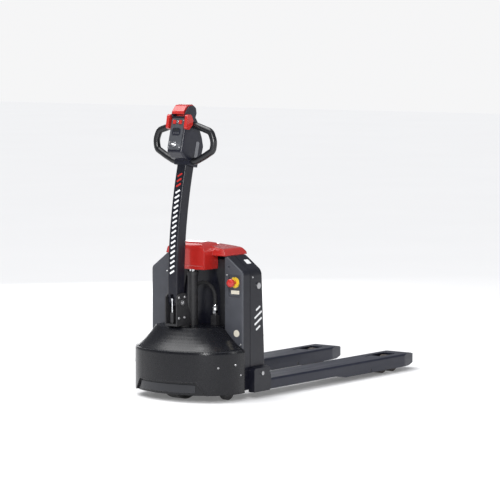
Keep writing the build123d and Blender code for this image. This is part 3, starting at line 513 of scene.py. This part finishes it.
bm = bmesh.new()
for side in SIDES:
    for x, z in ((-322, 438), (-283, 438), (-284, 350), (-322, 350)):
        hex_bolt(bm, *sunk(hit_side("tiller_bracket", side, x, z)), 5)
    hex_prism(bm, at(PIVOT_X, side * 37, 415), (0, side, 0), 7.5, -0.3, 4)
piece("bracket_bolts", bm, "steel", "drive_unit")

# --- control head -------------------------------------------------------------------------
turn = math.radians(BEND)
HEAD_X = PIVOT_X + BEND_R * (1 - math.cos(turn))
HEAD_Z = STRAIGHT_TOP + BEND_R * math.sin(turn)
HEAD_U = Vector((math.cos(turn), 0, -math.sin(turn)))
HEAD_W = Vector((math.sin(turn), 0, math.cos(turn)))
FACE_U = -97
BEZEL_U = FACE_U - 1.2


def head_spot(u, y, w):
    """A point u out towards the forks and w up along the head, from the top of the arm."""
    return at(HEAD_X, y, HEAD_Z) + (HEAD_U * u + HEAD_W * w) * MM


bm = bmesh.new()
plate(bm, head_spot(FACE_U, 0, 128), ACROSS, HEAD_W, 46, 34, 1.2, 12, 0.5)
piece("keypad_bezel", bm, "head", "tiller")
bm = bmesh.new()
plate(bm, head_spot(BEZEL_U, 0, 135), ACROSS, HEAD_W, 30, 12, 0.5, 3, 0.2)
piece("status_window", bm, "glass", "tiller")
bm = bmesh.new()
for y in (-12, 0, 12):
    plate(bm, head_spot(BEZEL_U, y, 121), ACROSS, HEAD_W, 8, 6, 0.9, 2.6, 0.4)
piece("keypad_keys", bm, "face", "tiller")
bm = bmesh.new()
for side in SIDES:
    plate(bm, head_spot(8, side * 40, 62), HEAD_U * -side, HEAD_W, 20, 92, 1.6, 7, 0.6)
piece("head_side_trims", bm, "trim", "tiller")
bm = bmesh.new()
for y, w in ((-28, 60), (28, 60), (-28, 178), (28, 178)):
    socket_screw(bm, head_spot(FACE_U + 0.1, y, w), -HEAD_U, 2.4)
piece("face_screws", bm, "steel", "tiller")

# --- wheels -------------------------------------------------------------------------------
LEVER_X, LEVER_LENGTH, LEVER_DROP = 755, 200, 5
ROLLER_APART, ROLLER_Y, ROLLER_Z, ROLLER_FACE = 42, 205, 37, 33
SEAL = [(-0.2, 8.2), (-0.2, 20), (0.8, 20), (1.2, 19), (1.2, 8.2)]
bogie_x = LEVER_X + LEVER_LENGTH * math.cos(math.asin(LEVER_DROP / LEVER_LENGTH))
for side, name in ((1, "left"), (-1, "right")):
    for place, x in (("front", bogie_x + ROLLER_APART), ("rear", bogie_x - ROLLER_APART)):
        bm = bmesh.new()
        for face in SIDES:
            turned(bm, at(x, side * ROLLER_Y + face * ROLLER_FACE, ROLLER_Z), (0, face, 0), SEAL, 32)
        piece(f"{name}_{place}_bearing_seals", bm, "steel", f"{name}_{place}_roller")

# --- floor, light and camera --------------------------------------------------------------
bm = bmesh.new()
bmesh.ops.create_grid(bm, x_segments=2, y_segments=2, size=30)
floor_mesh = bpy.data.meshes.new("floor")
bm.to_mesh(floor_mesh)
bm.free()
floor = bpy.data.objects.new("floor", floor_mesh)
bpy.context.scene.collection.objects.link(floor)
floor_paint = Nodes("floor_paint")
floor_tone = floor_paint.mix(floor_paint.noise(0.8), (0.72, 0.72, 0.725), (0.75, 0.75, 0.755))
floor_paint.link(floor_tone, floor_paint.shader.inputs["Base Color"])
for socket, value in (("Roughness", 0.9), ("Specular IOR Level", 0.1), ("Emission Color", (1, 1, 1, 1)),
                      ("Emission Strength", 0.16)):
    floor_paint.shader.inputs[socket].default_value = value
floor_mesh.materials.append(floor_paint.mat)

# The camera sees a pale backdrop, while a dimmer, cooler background lights the truck.
world = bpy.data.worlds.new("studio")
world.use_nodes = True
tree = world.node_tree
tree.nodes["Background"].inputs["Color"].default_value = (0.93, 0.95, 1, 1)
tree.nodes["Background"].inputs["Strength"].default_value = 0.3
backdrop = tree.nodes.new("ShaderNodeBackground")
backdrop.inputs["Color"].default_value = (0.92, 0.92, 0.925, 1)
rays = tree.nodes.new("ShaderNodeLightPath")
choice = tree.nodes.new("ShaderNodeMixShader")
tree.links.new(rays.outputs["Is Camera Ray"], choice.inputs["Fac"])
tree.links.new(tree.nodes["Background"].outputs["Background"], choice.inputs[1])
tree.links.new(backdrop.outputs["Background"], choice.inputs[2])
tree.links.new(choice.outputs["Shader"], tree.nodes["World Output"].inputs["Surface"])
bpy.context.scene.world = world


def pointing(direction):
    """Rotation that turns a lamp or camera to look along direction."""
    return direction.to_track_quat("-Z", "Y").to_euler()


def softbox(name, place, aim, size, power):
    """Rectangular lamp at place that faces aim."""
    light = bpy.data.lights.new(name, "AREA")
    light.shape = "RECTANGLE"
    light.size, light.size_y = size
    light.energy = power
    obj = bpy.data.objects.new(name, light)
    bpy.context.scene.collection.objects.link(obj)
    obj.location = place
    obj.rotation_euler = pointing(Vector(aim) - Vector(place))


softbox("key", (-3.6, -2.3, 2.0), (-0.6, 0, 0.3), (0.7, 1.7), 110)
softbox("side", (1.2, -3.8, 1.4), (-0.1, 0, 0.3), (1.0, 1.0), 14)
softbox("top", (-0.6, 0.2, 3.6), (-0.3, 0, 0), (2.4, 1.4), 30)
softbox("back", (2.8, 3.4, 1.2), (-0.2, 0, 0.4), (1.6, 1.6), 30)

sky = bpy.data.lights.new("sky", "SUN")
sky.energy = 2.5
sky.angle = math.radians(50)
sky_lamp = bpy.data.objects.new("sky", sky)
sky_lamp.rotation_euler = pointing(Vector((0.25, -0.35, -1)))
bpy.context.scene.collection.objects.link(sky_lamp)

CAMERA_PLACE = (-9.257, -6.919, 1.600)
CAMERA_LENS, SENSOR_WIDTH = 187.3, 36
CAMERA_YAW, CAMERA_PITCH = 37.26, -4.99
camera = bpy.data.objects.new("camera", bpy.data.cameras.new("camera"))
bpy.context.scene.collection.objects.link(camera)
camera.data.lens = CAMERA_LENS
camera.data.sensor_width = SENSOR_WIDTH
camera.data.clip_end = 100
camera.location = CAMERA_PLACE
yaw, pitch = math.radians(CAMERA_YAW), math.radians(CAMERA_PITCH)
look = Vector((math.cos(yaw) * math.cos(pitch), math.sin(yaw) * math.cos(pitch), math.sin(pitch)))
camera.rotation_euler = pointing(look)
bpy.context.scene.camera = camera
bpy.context.scene.view_settings.view_transform = "Standard"
